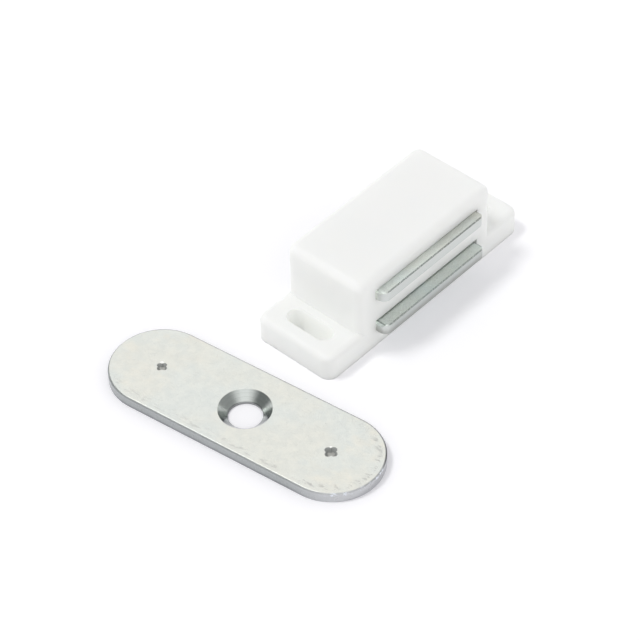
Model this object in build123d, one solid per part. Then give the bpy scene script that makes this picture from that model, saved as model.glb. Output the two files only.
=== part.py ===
from build123d import *
import os

# Magnetic catch for a cabinet door, in millimetres.
# A white moulded housing is screwed to the cabinet by its two ears. It holds a ferrite block
# between two zinc-plated steel pole plates, whose front edges stand out of the front face.
# The strike plate goes on the door, where the two pole plates meet it, and lies beside the
# housing here.
# The origin is the centre of the housing's mounting face, +Z is up from that face, +X runs from
# ear to ear, and the pole plates look along -Y.

# Screw slots in the ears, which run across the housing so that it can be set in and out
slot_spacing = 40.0
slot_length = 9.2
slot_width = 3.3
slot_chamfer = 0.15

# Housing: one moulding, with its block and ears flush in front and behind, and narrower upwards
# by its draft so that it leaves the mould
housing_depth = 16.6
draft_angle = 0.4
block_corner_radius = 1.65
block_edge_radius = 1.45
ear_height = 4.8
ear_corner_radius = 2.0
ear_edge_radius = 1.1
ear_end = 4.6
side_wall = 2.5
roof = 2.8

# Steel pole plates, whose ends the press has drawn down
pole_thickness = 2.0
pole_width = 25.7
pole_front_radius = 1.4
pole_edge_chamfer = 0.2
pole_end_roll = 0.8
shoulder_width = 1.2
pole_reach = 2.25
pole_float = 0.8

# Where each pole plate stands in its play: to one side, and back from where its stop is met
lower_pole_shift = -0.1
lower_pole_set_back = 0.1
upper_pole_shift = 0.1
upper_pole_set_back = 0.6

# Ferrite block between the pole plates
magnet_thickness = 5.0
magnet_side_gap = 0.1
magnet_end_gap = 0.15
magnet_chamfer = 0.4

# Pocket for the pole plates and the magnet, open at the back
pocket_floor = 3.4
front_wall = 2.0
pocket_side_gap = 0.25
pocket_top_gap = 0.2
pole_side_gap = 0.15
lower_slot_gap = 0.25
upper_slot_gap = 0.05
stop_gap = 0.05

# Snap lips at the mouth of the pocket
lip_depth = 1.2
lip_land = 0.4
lip_height = 0.9

# Strike plate
strike_length = 51.8
strike_width = 17.4
strike_thickness = 2.0
strike_edge_radius = 0.4
screw_hole_diameter = 5.8
countersink_diameter = 9.0
countersink_angle = 90.0

# Four-lobed punch marks near the ends of the strike plate, the second one struck harder
mark_spacing = 33.8
mark_widths = (2.0, 2.45)
mark_depths = (0.6, 0.8)
mark_turn = -9.0
mark_lobes = 4
mark_lobe_share = 0.47
mark_floor_share = 0.6

# Where the strike plate lies beside the housing
strike_x = -39.1
strike_y = -3.0
strike_turn = -82.9

# The most that a rounded edge may take of the corner or the wall beside it
largest_share = 0.9

# Places that follow from the sizes
housing_back = housing_depth / 2
pocket_front = front_wall - housing_depth / 2
lip_seat = housing_back - lip_depth
pocket_depth = lip_seat - pocket_front
pocket_height = 2 * pole_thickness + magnet_thickness + pocket_top_gap
shoulder_length = pole_width + 2 * shoulder_width
pocket_width = shoulder_length + 2 * pocket_side_gap
block_length = pocket_width + 2 * side_wall
block_height = pocket_floor + pocket_height + roof
housing_length = slot_spacing + 2 * ear_end
shoulder_depth = pocket_depth - pole_float - 2 * stop_gap
tongue_depth = front_wall + stop_gap + pole_reach
lower_pole_z = pocket_floor
magnet_z = lower_pole_z + pole_thickness
upper_pole_z = magnet_z + magnet_thickness


def rounded_prism(length, height, corner_radius, edge_radius):
    """A drafted prism as deep as the housing, with rounded upright corners and top edge."""
    outline = RectangleRounded(length, housing_depth, corner_radius)
    prism = extrude(outline, amount=height, taper=draft_angle)
    rounding = min(edge_radius, largest_share * corner_radius)
    return fillet(prism.faces().sort_by(Axis.Z)[-1].edges(), rounding)


def screw_slot():
    """A slot through an ear, with its top edge broken so that the screw head sits flat."""
    outline = Rot(0, 0, 90) * SlotOverall(slot_length, slot_width)
    rim = Rot(0, 0, 90) * SlotOverall(slot_length + 2 * slot_chamfer, slot_width + 2 * slot_chamfer)
    shaft = extrude(outline, amount=ear_height)
    mouth = Pos(0, 0, ear_height) * extrude(rim, amount=-slot_chamfer, taper=45)
    return shaft + mouth


def pocket():
    """The pocket, from behind the front wall to the open back."""
    return Pos(0, pocket_front, pocket_floor) * Box(
        pocket_width,
        housing_depth,
        pocket_height,
        align=(Align.CENTER, Align.MIN, Align.MIN),
    )


def pole_slot(plate_z, gap):
    """The slot through the front wall for the pole plate whose underside is at plate_z."""
    return Pos(0, pocket_front, plate_z) * Box(
        pole_width + 2 * pole_side_gap,
        2 * front_wall + stop_gap,
        pole_thickness + gap,
        align=(Align.CENTER, Align.CENTER, Align.MIN),
    )


def snap_lip():
    """The lip on the pocket's right-hand wall, with a ramp that the plates are pushed in over."""
    wall = pocket_width / 2
    profile = make_face(
        Polyline(
            (wall, lip_seat),
            (wall - lip_height, lip_seat),
            (wall - lip_height, lip_seat + lip_land),
            (wall, housing_back),
            close=True,
        )
    )
    return Pos(0, 0, pocket_floor) * extrude(profile, amount=pocket_height)


def housing():
    """The moulding: a block on a bar that ends in the ears, hollowed for what it holds."""
    body = rounded_prism(block_length, block_height, block_corner_radius, block_edge_radius)
    body += rounded_prism(housing_length, ear_height, ear_corner_radius, ear_edge_radius)
    for side in (-1, 1):
        body -= Pos(side * slot_spacing / 2, 0, 0) * screw_slot()
    body -= pocket()
    body -= pole_slot(lower_pole_z, lower_slot_gap)
    body -= pole_slot(upper_pole_z, upper_slot_gap)
    body += snap_lip()
    body += mirror(snap_lip(), about=Plane.YZ)
    return body


def blanked(plan):
    """A plate of this plan, whose upper edges are broken and whose lower ones are sharp."""
    plate = extrude(plan, amount=pole_thickness)
    return chamfer(plate.faces().sort_by(Axis.Z)[-1].edges(), pole_edge_chamfer)


def rolled_ends(depth):
    """A bar as wide as the tongue, whose upper edges are drawn down along both ends."""
    section = Rectangle(pole_width, pole_thickness, align=(Align.CENTER, Align.MIN))
    upper_corners = section.vertices().group_by(Axis.Y)[-1]
    section = fillet(upper_corners, min(pole_end_roll, largest_share * pole_thickness))
    return extrude(Plane.XZ * section, amount=depth, both=True)


def pole_plate(plate_z, side_shift, set_back):
    """A pole plate: a tongue through the front wall and wider shoulders behind the wall."""
    depth = tongue_depth + shoulder_depth
    plan = Rectangle(pole_width, depth, align=(Align.CENTER, Align.MIN))
    front_corners = plan.vertices().group_by(Axis.Y)[0]
    plan = fillet(front_corners, min(pole_front_radius, largest_share * tongue_depth))
    tongue = Pos(0, -tongue_depth, 0) * blanked(plan) & rolled_ends(depth)
    shoulders = Rectangle(shoulder_length, shoulder_depth, align=(Align.CENTER, Align.MIN))
    plate = tongue + blanked(shoulders)
    return Pos(side_shift, pocket_front + stop_gap + set_back, plate_z) * plate


def magnet():
    """The pressed ferrite block, with the broken edges that its die gives it."""
    width = shoulder_length - 2 * magnet_side_gap
    depth = pocket_depth - 2 * magnet_end_gap
    blank = Box(width, depth, magnet_thickness, align=(Align.CENTER, Align.MIN, Align.MIN))
    pressed = chamfer(blank.edges().filter_by(Axis.Y), magnet_chamfer)
    return Pos(0, pocket_front + magnet_end_gap, magnet_z) * pressed


def punch_mark(width, depth):
    """A blind dent whose rim has rounded lobes with notches between them, and a smaller floor."""
    lobe_radius = mark_lobe_share * width / 2
    lobe_offset = width / 2 - lobe_radius
    rim = Circle(lobe_offset)
    for place in PolarLocations(lobe_offset, mark_lobes):
        rim += place * Circle(lobe_radius)
    floor = Pos(0, 0, -depth) * scale(rim, by=mark_floor_share)
    dent = loft([floor.face(), rim.face()], ruled=True)
    return Pos(0, 0, strike_thickness) * Rot(0, 0, mark_turn) * dent


def strike_plate():
    """A round-ended strip with a rolled upper edge, a countersunk hole and two punch marks."""
    strip = extrude(SlotOverall(strike_length, strike_width), amount=strike_thickness)
    rounding = min(strike_edge_radius, largest_share * strike_thickness)
    strip = fillet(strip.faces().sort_by(Axis.Z)[-1].edges(), rounding)
    strip -= Pos(0, 0, strike_thickness) * CounterSinkHole(
        radius=screw_hole_diameter / 2,
        counter_sink_radius=countersink_diameter / 2,
        depth=strike_thickness,
        counter_sink_angle=countersink_angle,
    )
    for side, width, depth in zip((-1, 1), mark_widths, mark_depths):
        strip -= Pos(side * mark_spacing / 2, 0, 0) * punch_mark(width, depth)
    return Pos(strike_x, strike_y, 0) * Rot(0, 0, strike_turn) * strip


pieces = {
    "housing": housing(),
    "magnet": magnet(),
    "lower_pole_plate": pole_plate(lower_pole_z, lower_pole_shift, lower_pole_set_back),
    "upper_pole_plate": pole_plate(upper_pole_z, upper_pole_shift, upper_pole_set_back),
    "strike_plate": strike_plate(),
}

os.makedirs("parts", exist_ok=True)
for node, shape in pieces.items():
    export_step(shape, f"parts/{node}.step")
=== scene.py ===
import math

import bpy
import numpy as np
from mathutils import Matrix, Vector


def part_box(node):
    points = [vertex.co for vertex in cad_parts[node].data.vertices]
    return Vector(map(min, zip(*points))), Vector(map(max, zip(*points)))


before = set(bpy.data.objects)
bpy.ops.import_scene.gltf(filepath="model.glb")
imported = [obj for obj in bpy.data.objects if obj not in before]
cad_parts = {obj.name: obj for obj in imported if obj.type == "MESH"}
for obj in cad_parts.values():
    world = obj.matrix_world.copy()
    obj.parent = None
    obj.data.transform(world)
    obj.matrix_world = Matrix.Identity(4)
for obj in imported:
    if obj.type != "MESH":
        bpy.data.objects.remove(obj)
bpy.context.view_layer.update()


# The housing is one injection moulding in white ABS, with a fine satin skin from its mould.
# Thick places show faint sink clouds, and handling has polished the high spots a little.
# The cabinet screws go through the slots in its two ears.
class Signal:
    """One output of a node tree. Arithmetic on it, from either side, adds Math nodes."""

    def __init__(self, recipe, socket):
        self.recipe = recipe
        self.socket = socket

    def math(self, operation, *terms):
        sockets = dict(enumerate(terms))
        return self.recipe.node("ShaderNodeMath", {"operation": operation}, sockets)

    def __add__(self, other):
        return self.math("ADD", self, other)

    def __radd__(self, other):
        return self.math("ADD", other, self)

    def __sub__(self, other):
        return self.math("SUBTRACT", self, other)

    def __rsub__(self, other):
        return self.math("SUBTRACT", other, self)

    def __mul__(self, other):
        return self.math("MULTIPLY", self, other)

    def __rmul__(self, other):
        return self.math("MULTIPLY", other, self)

    def __abs__(self):
        return self.math("ABSOLUTE", self)

    def __pow__(self, other):
        return self.math("POWER", self, other)

    def at_least(self, other):
        return self.math("MAXIMUM", self, other)

    def at_most(self, other):
        return self.math("MINIMUM", self, other)


class Recipe:
    """The node tree of one finish. Lengths in it are millimetres of the shared frame."""

    def __init__(self, tree):
        self.tree = tree
        tree.nodes.clear()

    def node(self, kind, settings, sockets, output=0):
        """Adds a node: its settings first, then the values or signals of its sockets."""
        made = self.tree.nodes.new(kind)
        for name, value in settings.items():
            setattr(made, name, value)
        for key, value in sockets.items():
            if isinstance(value, Signal):
                self.tree.links.new(value.socket, made.inputs[key])
            else:
                made.inputs[key].default_value = value
        return Signal(self, made.outputs[output]) if made.outputs else None

    def place(self, origin=(0, 0, 0), turn=0):
        """A point's place in millimetres from an origin, in axes turned about +Z."""
        metres = self.node("ShaderNodeTexCoord", {}, {}, "Object")
        sockets = {"Vector": metres, "Location": tuple(origin), "Rotation": (0, 0, turn)}
        shifted = self.node("ShaderNodeMapping", {"vector_type": "TEXTURE"}, sockets)
        return self.stretch(shifted, (1000, 1000, 1000))

    def stretch(self, vector, factors):
        """A vector with each of its parts multiplied by its own factor."""
        return self.node("ShaderNodeVectorMath", {"operation": "MULTIPLY"}, {0: vector, 1: factors})

    def parts(self, vector):
        """The three parts of a vector."""
        split = self.node("ShaderNodeSeparateXYZ", {}, {0: vector})
        return [Signal(self, socket) for socket in split.socket.node.outputs]

    def along(self, vector, direction):
        """How far a vector reaches along a direction."""
        sockets = {0: vector, 1: tuple(direction)}
        return self.node("ShaderNodeVectorMath", {"operation": "DOT_PRODUCT"}, sockets, "Value")

    def facing(self):
        """The outward direction of the surface."""
        return self.node("ShaderNodeNewGeometry", {}, {}, "Normal")

    def ray(self, kind):
        """1 where a ray of this kind looks at the surface, and 0 elsewhere."""
        return self.node("ShaderNodeLightPath", {}, {}, kind)

    def noise(self, vector, size, detail=2.0, roughness=0.5):
        """Smooth noise from about 0.2 to 0.8, with features of a size in millimetres."""
        sockets = {"Vector": vector, "Scale": 1 / size, "Detail": detail, "Roughness": roughness}
        return self.node("ShaderNodeTexNoise", {}, sockets, "Fac")

    def ramp(self, value, low, high):
        """A smooth step of a value, from 0 at low to 1 at high."""
        sockets = {"Value": value, "From Min": low, "From Max": high}
        return self.node("ShaderNodeMapRange", {"interpolation_type": "SMOOTHSTEP"}, sockets)

    def mix(self, factor, first, second):
        """A colour between two colours."""
        sockets = {0: factor, 6: first, 7: second}
        return self.node("ShaderNodeMix", {"data_type": "RGBA"}, sockets, 2)

    def bump(self, height, distance, under=None):
        """A normal for a height from 0 to 1 that stands for a distance in millimetres."""
        sockets = {"Height": height, "Strength": 1.0, "Distance": distance / 1000}
        if under:
            sockets["Normal"] = under
        return self.node("ShaderNodeBump", {}, sockets)


def finish(name, make):
    """A material whose shader gets the sockets that a recipe function returns."""
    material = bpy.data.materials.new(name)
    material.use_nodes = True
    recipe = Recipe(material.node_tree)
    shader = recipe.node("ShaderNodeBsdfPrincipled", {}, make(recipe))
    recipe.node("ShaderNodeOutputMaterial", {}, {"Surface": shader})
    return material


def dress(node, material):
    """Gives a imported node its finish."""
    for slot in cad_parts[node].material_slots:
        slot.material = material


screw_slot_place = 20.0
screw_slot_half_width = 1.65
screw_slot_half_length = 4.6
pole_slot_half_width = 13.0
front_wall_back = -6.3


def in_screw_slot(recipe, place):
    """How far a point is inside one of the two slots in the ears."""
    across, along, _ = recipe.parts(place)
    to_side = abs(abs(across) - screw_slot_place)
    beside = recipe.ramp(to_side, screw_slot_half_width + 0.01, screw_slot_half_width + 0.15)
    beyond = recipe.ramp(abs(along), screw_slot_half_length, screw_slot_half_length + 0.2)
    return (1 - beside) * (1 - beyond)


def beside_pole_plate(recipe, place):
    """How far a point is on the left-hand side of a slot for a pole plate."""
    across, along, _ = recipe.parts(place)
    sideways = recipe.ramp(recipe.parts(recipe.facing())[0], 0.6, 0.8)
    outside = recipe.ramp(abs(across), pole_slot_half_width + 0.1, pole_slot_half_width + 0.3)
    behind = recipe.ramp(along, front_wall_back, front_wall_back + 0.2)
    return sideways * (1 - outside) * (1 - behind)


def white_moulding(recipe):
    """Faint clouds in the colour and gloss, over a fine grain with slow waves under it.
    A painted glow lights the walls of the slots in the ears and the left-hand sides of the slots
    for the pole plates."""
    place = recipe.place()
    clouds = recipe.noise(place, size=9.0, detail=3.0)
    handling = recipe.noise(place, size=2.6, detail=4.0, roughness=0.6)
    grain = recipe.noise(place, size=0.16, detail=2.0)
    waves = recipe.noise(place, size=6.0, detail=1.0)
    clear = (0.940, 0.945, 0.920, 1)
    milky = (0.925, 0.940, 0.920, 1)
    upright = 1 - recipe.ramp(abs(recipe.parts(recipe.facing())[2]), 0.3, 0.7)
    # Painted glow: the ear slots and the left-hand sides of the pole slots give off light.
    painted_glow = 0.2 * in_screw_slot(recipe, place) * upright + beside_pole_plate(recipe, place)
    return {
        "Base Color": recipe.mix(recipe.ramp(clouds, 0.35, 0.7), clear, milky),
        "Roughness": 0.34 + 0.12 * handling + 0.08 * grain,
        "Normal": recipe.bump(grain, 0.004, recipe.bump(waves, 0.05)),
        "IOR": 1.5,
        "Subsurface Weight": 0.5,
        "Subsurface Radius": (1.0, 1.0, 0.95),
        "Subsurface Scale": 0.002,
        "Emission Color": recipe.mix(painted_glow, (0, 0, 0, 1), (0.48, 0.48, 0.46, 1)),
        "Emission Strength": 1.0,
    }


dress("housing", finish("white_moulding", white_moulding))


# The pole plates are blanked from steel strip and barrel-plated with zinc. Their faces are
# greyish green and lightly rubbed, and a painted reflection greys the right half of the upper
# one. The blanking left their upright edges smooth and duller. They stand loosely in their
# slots, held by the magnet.
def scratches(recipe, place, turns, level):
    """Short fine scratches in a few directions: noise drawn out along each, cut at a level."""
    total = 0.0
    for turn in turns:
        turned = recipe.node(
            "ShaderNodeVectorRotate",
            {"rotation_type": "Z_AXIS"},
            {"Vector": place, "Angle": math.radians(turn)},
        )
        drawn = recipe.stretch(turned, (0.5, 14.0, 0.5))
        line = recipe.noise(drawn, size=1.0, detail=1.0)
        total = recipe.ramp(line, level, level + 0.06) + total
    return total


lower_plate_base = 3.4
below_magnet = 6.0
above_magnet = 9.0


def pole_steel(recipe):
    """Frosted zinc with slow tints on the faces, and duller upright edges with upright streaks.
    On the lower plate, painted shade darkens the foot of its edges and a painted reflection draws
    a dark line round the rolled edge of its face."""
    place = recipe.place()
    across, _, height = recipe.parts(place)
    tint = recipe.noise(place, size=7.0, detail=2.0)
    frost = recipe.noise(place, size=0.35, detail=4.0, roughness=0.65)
    streaks = recipe.noise(recipe.stretch(place, (7.0, 7.0, 0.6)), size=1.0, detail=3.0)
    rubbed = scratches(recipe, place, (20, 75, 140), 0.64)
    upward = recipe.parts(recipe.facing())[2]
    edge = 1 - recipe.ramp(abs(upward), 0.2, 0.5)
    face = recipe.mix(recipe.ramp(tint, 0.35, 0.7), (0.70, 0.76, 0.735, 1), (0.73, 0.76, 0.71, 1))
    upper = recipe.ramp(height, below_magnet, above_magnet)
    shade = recipe.mix(upper, (0.93, 0.95, 0.96, 1), (1, 1, 1, 1))
    # Painted reflection: the right half of the upper plate's face is greyer.
    shade = recipe.mix(upper * recipe.ramp(across, 0.0, 4.0), shade, (0.90, 0.87, 0.85, 1))
    # Painted reflection: a dark line round the rolled edge of the lower plate's face.
    painted_edge_reflection = recipe.ramp(upward, 0.78, 0.86) * (1 - recipe.ramp(upward, 0.93, 0.98))
    shade = recipe.mix(painted_edge_reflection * (1 - upper), shade, (0.42, 0.45, 0.44, 1))
    face = recipe.stretch(face, shade)
    sheared = recipe.mix(streaks, (0.60, 0.63, 0.61, 1), (0.66, 0.68, 0.66, 1))
    # Painted shade: the upright edges of the lower plate darken towards their foot.
    painted_foot_shade = 1 - recipe.ramp(height, lower_plate_base, lower_plate_base + 1.5)
    sheared = recipe.mix(painted_foot_shade, sheared, (0.42, 0.43, 0.41, 1))
    return {
        "Base Color": recipe.mix(edge, face, sheared),
        "Metallic": 1.0,
        "Roughness": 0.2 + 0.1 * frost + 0.06 * rubbed + 0.1 * edge * streaks,
        "Normal": recipe.bump(frost + streaks * edge - 2 * rubbed, 0.001),
    }


for plate in ("lower_pole_plate", "upper_pole_plate"):
    dress(plate, finish(plate, pole_steel))


# The magnet is a pressed block of barium ferrite, sintered black and ground on its two flat
# faces. It is seen only from behind, between the pole plates.
def black_ferrite(recipe):
    """A grainy near-black with fine grinding lines along X."""
    place = recipe.place()
    grains = recipe.noise(place, size=0.25, detail=5.0, roughness=0.7)
    ground = recipe.noise(recipe.stretch(place, (0.15, 6.0, 2.0)), size=1.0, detail=2.0)
    dull = (0.030, 0.030, 0.032, 1)
    dusty = (0.075, 0.073, 0.070, 1)
    return {
        "Base Color": recipe.mix(recipe.ramp(grains, 0.4, 0.75), dull, dusty),
        "Roughness": 0.5 + 0.3 * grains,
        "Normal": recipe.bump(grains + 0.5 * ground, 0.02),
    }


dress("magnet", finish("black_ferrite", black_ferrite))


# The strike plate is a blanked strip with a countersunk hole and two punched dents. It was
# plated loose in a barrel, which scuffed it in a band inside its rim and left faint yellow and
# green stains. It lies beside the housing as it does before it is screwed to the door.
strike_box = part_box("strike_plate")
strike_centre = (Vector(strike_box[0]) + Vector(strike_box[1])) / 2
strike_turn = math.radians(-82.9)
strike_top = 2.0
strike_half_width = 8.7
strike_half_straight = 17.2
hole_radius = 2.9
countersink_radius = 4.5
mark_half_spacing = 16.9
mark_reach = 1.3
burr_highlight_along = -0.56
burr_highlight_across = 0.77


def strike_steel(recipe):
    """Stained zinc with scuffs inside the rim, turned rings in the countersink whose near side is
    darkened by a painted reflection, and dark dents, each with a painted highlight on a burr at one
    notch. A painted reflection darkens the far rim, and painted light and glints brighten the
    right end's edge."""
    place = recipe.place((strike_centre.x, strike_centre.y, 0), strike_turn)
    along, across, height = recipe.parts(place)
    upward = recipe.parts(recipe.facing())[2]
    past_straight = (abs(along) - strike_half_straight).at_least(0.0)
    inset = strike_half_width - (past_straight ** 2 + across ** 2) ** 0.5
    from_hole = (along ** 2 + across ** 2) ** 0.5
    from_mark = ((abs(along) - mark_half_spacing) ** 2 + across ** 2) ** 0.5

    tint = recipe.noise(place, size=8.0, detail=3.0)
    frost = recipe.noise(place, size=0.3, detail=4.0, roughness=0.65)
    spots = recipe.noise(recipe.stretch(place, (1, 1.4, 1)), size=3.2, detail=2.0)
    ends = recipe.ramp(abs(along), 8.0, 20.0) * recipe.ramp(spots, 0.4, 0.85)
    greenish = (0.775, 0.80, 0.765, 1)
    yellowish = (0.795, 0.80, 0.745, 1)
    stain = recipe.mix(recipe.ramp(tint, 0.4, 0.65), greenish, yellowish)
    clean = recipe.mix(ends, stain, (0.83, 0.81, 0.73, 1))
    marbling = recipe.ramp(recipe.noise(place, size=1.7, detail=4.0, roughness=0.6), 0.35, 0.65)
    marbled = recipe.mix(marbling, (0.967, 0.973, 0.977, 1), (1.02, 1.016, 1.008, 1))
    clean = recipe.stretch(clean, marbled)

    rubbed = scratches(recipe, place, (15, 60, 105, 150), 0.67)
    drawn = recipe.stretch(place, (0.5, 1.3, 1))
    patches = recipe.noise(drawn, size=0.8, detail=4.0, roughness=0.7)
    band = recipe.ramp(inset, 0.6, 1.0) * (1 - recipe.ramp(inset, 1.2, 2.2))
    near_side = 1 - recipe.ramp(across - 0.3 * along, -2.0, 2.0)
    near_side = near_side + 0.5 * recipe.ramp(along, 14.0, 20.0)
    scuffs = band * near_side * recipe.ramp(patches, 0.5, 0.6)
    worn = recipe.mix((0.35 * rubbed + 0.5 * scuffs).at_most(1.0), clean, (0.50, 0.50, 0.48, 1))

    edge_height = recipe.ramp(height + 0.5 * patches, 0.3, 1.0)
    edge = recipe.mix(edge_height, (0.27, 0.28, 0.29, 1), (0.43, 0.45, 0.45, 1))
    # Painted light: the edge is lighter towards the right end, with painted glints on its upper
    # rim.
    edge = recipe.mix(recipe.ramp(along, 13.0, 24.0), edge, (0.57, 0.58, 0.59, 1))
    right_rim = recipe.ramp(along, 19.0, 23.0) * recipe.ramp(height, 1.2, 1.6)
    painted_glints = right_rim * recipe.ramp(patches, 0.52, 0.62)
    edge = recipe.mix(painted_glints, edge, (0.84, 0.88, 0.94, 1))
    rim = (1 - recipe.ramp(inset, 0.3, 0.45)) * (1 - recipe.ramp(abs(upward), 0.75, 0.98))
    rolled = recipe.ramp(upward, 0.1, 0.3)
    skin = recipe.mix(rim, worn, edge)
    # Painted reflection: a dark line on the rolled rim of the far side.
    painted_far_rim_reflection = recipe.ramp(across, 1.0, 4.0) * (1 - recipe.ramp(inset, 0.1, 0.4))
    skin = recipe.mix(painted_far_rim_reflection * recipe.ramp(upward, 0.2, 0.6), skin, (0.14, 0.14, 0.15, 1))

    outwards = recipe.node("ShaderNodeCombineXYZ", {}, {0: from_hole})
    rings = recipe.noise(outwards, size=0.12, detail=2.0)
    beyond_cone = recipe.ramp(from_hole, countersink_radius - 0.1, countersink_radius)
    cone = (1 - beyond_cone) * (1 - recipe.ramp(abs(upward), 0.8, 0.95))
    turned = recipe.mix(rings, (0.42, 0.45, 0.43, 1), (0.68, 0.71, 0.69, 1))
    past_wall = recipe.ramp(from_hole, hole_radius + 0.04, hole_radius + 0.14)
    turned = recipe.mix(past_wall, (0.30, 0.31, 0.31, 1), turned)
    # Painted reflection: the side of the cone nearest the camera is darker.
    painted_near_cone_reflection = recipe.ramp(0.59 * along - 0.81 * across, 0.7, 2.2)
    turned = recipe.mix(painted_near_cone_reflection, turned, (0.20, 0.22, 0.22, 1))
    skin = recipe.mix(cone, skin, turned)

    at_top = recipe.ramp(height, strike_top - 0.06, strike_top - 0.01)
    sunk = recipe.ramp(height, 0.2, 0.5) * (1 - at_top)
    dent = sunk * (1 - recipe.ramp(from_mark, mark_reach, mark_reach + 0.1))
    bottom = recipe.ramp(upward, 0.8, 0.95)
    struck = recipe.mix(bottom, (0.40, 0.41, 0.40, 1), (0.50, 0.50, 0.47, 1))
    skin = recipe.mix(dent, skin, struck)
    # Painted highlight: a bright spot on a burr at one notch of each dent.
    to_side = (across - burr_highlight_across) ** 2
    from_burr_highlights = [
        ((along - mark_along - burr_highlight_along) ** 2 + to_side) ** 0.5
        for mark_along in (mark_half_spacing, -mark_half_spacing)
    ]
    burr_highlight = 1 - recipe.ramp(from_burr_highlights[0].at_most(from_burr_highlights[1]), 0.24, 0.38)
    on_face = (1 - dent) * recipe.ramp(upward, 0.5, 0.9)
    skin = recipe.mix(burr_highlight * on_face, skin, (1.0, 1.0, 0.97, 1))
    relief = frost - 2 * rubbed - 3 * scuffs + 4 * cone * rings
    dull = 0.1 * frost + 0.06 * rubbed + 0.1 * scuffs + 0.3 * rim * rolled
    return {
        "Base Color": skin,
        "Metallic": 1 - 0.9 * dent,
        "Roughness": 0.2 + dull - 0.12 * cone,
        "Normal": recipe.bump(relief, 0.001),
    }


dress("strike_plate", finish("strike_steel", strike_steel))


# The catch lies on plain white paper, wide enough to fill every view. To the eye and in the
# metal the paper glows a little, so that it turns white and its shadows stay pale and lilac.
floor_half = 3.0


def paper(recipe):
    """Matt white with fine fibres."""
    place = recipe.place()
    fibres = recipe.noise(place, size=0.4, detail=3.0)
    seen = recipe.ray("Is Camera Ray").at_least(recipe.ray("Is Glossy Ray"))
    lilac = (0.10, 0.095, 0.12, 1)
    # Painted light: the paper glows a little more inside the ear slots.
    glow = recipe.mix(in_screw_slot(recipe, place), lilac, (0.13, 0.13, 0.13, 1))
    return {
        "Base Color": recipe.mix(fibres, (0.98, 0.98, 0.98, 1), (1.0, 1.0, 1.0, 1)),
        "Emission Color": recipe.mix(seen, (0, 0, 0, 1), glow),
        "Emission Strength": 1.0,
        "Roughness": 0.9 + 0.05 * fibres,
        "Specular IOR Level": 0.0,
    }


corners = np.array([(-1, -1, 0), (1, -1, 0), (1, 1, 0), (-1, 1, 0)]) * floor_half
sheet = bpy.data.meshes.new("paper")
sheet.from_pydata(corners.tolist(), [], [(0, 1, 2, 3)])
floor = bpy.data.objects.new("paper", sheet)
bpy.context.scene.collection.objects.link(floor)
sheet.materials.append(finish("paper", paper))


# One broad soft lamp stands behind and to the left, and a white tent lights everything else.
# Metal mirrors the tent: it is white behind and above, grey to both sides of the camera, and
# the lamp is a bright disc in it.
azimuth = math.radians(-46.61)
elevation = math.radians(45.01)
level = Vector((math.cos(azimuth), math.sin(azimuth), 0))
back = Vector((
    math.sin(azimuth) * math.cos(elevation),
    -math.cos(azimuth) * math.cos(elevation),
    math.sin(elevation),
))
lamp_side = Vector((-0.34, 0.39, 1.0)).normalized()
key = bpy.data.lights.new("key", "SUN")
key.energy = 0.27 * math.pi
key.angle = math.radians(14)
key_object = bpy.data.objects.new("key", key)
key_object.rotation_euler = lamp_side.to_track_quat("Z", "Y").to_euler()
key_object.visible_glossy = False
bpy.context.scene.collection.objects.link(key_object)

world = bpy.data.worlds.new("tent")
world.use_nodes = True
bpy.context.scene.world = world
tent = Recipe(world.node_tree)
looking = tent.node("ShaderNodeTexCoord", {}, {}, "Generated")
height = tent.parts(looking)[2]
sideways = tent.along(looking, level)
raised = tent.ramp(height, 0.1, 0.3)
mirrored = (1, 1, 1, 1)
for toward, grey in (sideways, (0.40, 0.41, 0.41, 1)), (0 - sideways, (0.24, 0.25, 0.25, 1)):
    mirrored = tent.mix(raised * tent.ramp(toward, 0.35, 0.8), mirrored, grey)
by_camera = tent.ramp(tent.along(looking, back), 0.93, 0.98)
lamp_disc = tent.ramp(tent.along(looking, lamp_side), 0.966, 0.985)
mirrored = tent.mix(by_camera, mirrored, (1.2, 1.2, 1.2, 1))
mirrored = tent.mix(lamp_disc, mirrored, (2.6, 2.6, 2.6, 1))
around = tent.mix(height, (1.08, 1.08, 1.08, 1), (0.54, 0.54, 0.54, 1))
light = tent.mix(tent.ray("Is Glossy Ray"), around, mirrored)
light = tent.mix(tent.ray("Is Camera Ray"), light, (1, 1, 1, 1))
background = tent.node("ShaderNodeBackground", {}, {"Color": light, "Strength": 1.0})
tent.node("ShaderNodeOutputWorld", {}, {"Surface": background})
bpy.context.scene.view_settings.view_transform = "Standard"


# The camera looks down at the catch from its left front corner through a long lens.
roll = math.radians(-1.83)
distance = 0.4333
aim = Vector((-0.01475, 0.00275, 0))
focal_pixels = 2581
frame_pixels = 640

above = back.cross(level)
right = level * math.cos(roll) + above * math.sin(roll)
up = above * math.cos(roll) - level * math.sin(roll)
camera_data = bpy.data.cameras.new("camera")
camera_data.sensor_width = 36
camera_data.lens = camera_data.sensor_width * focal_pixels / frame_pixels
camera_data.clip_start = 0.01
camera = bpy.data.objects.new("camera", camera_data)
turned_to_view = Matrix((right, up, back)).transposed().to_4x4()
camera.matrix_world = Matrix.Translation(aim + back * distance) @ turned_to_view
bpy.context.scene.collection.objects.link(camera)
bpy.context.scene.camera = camera
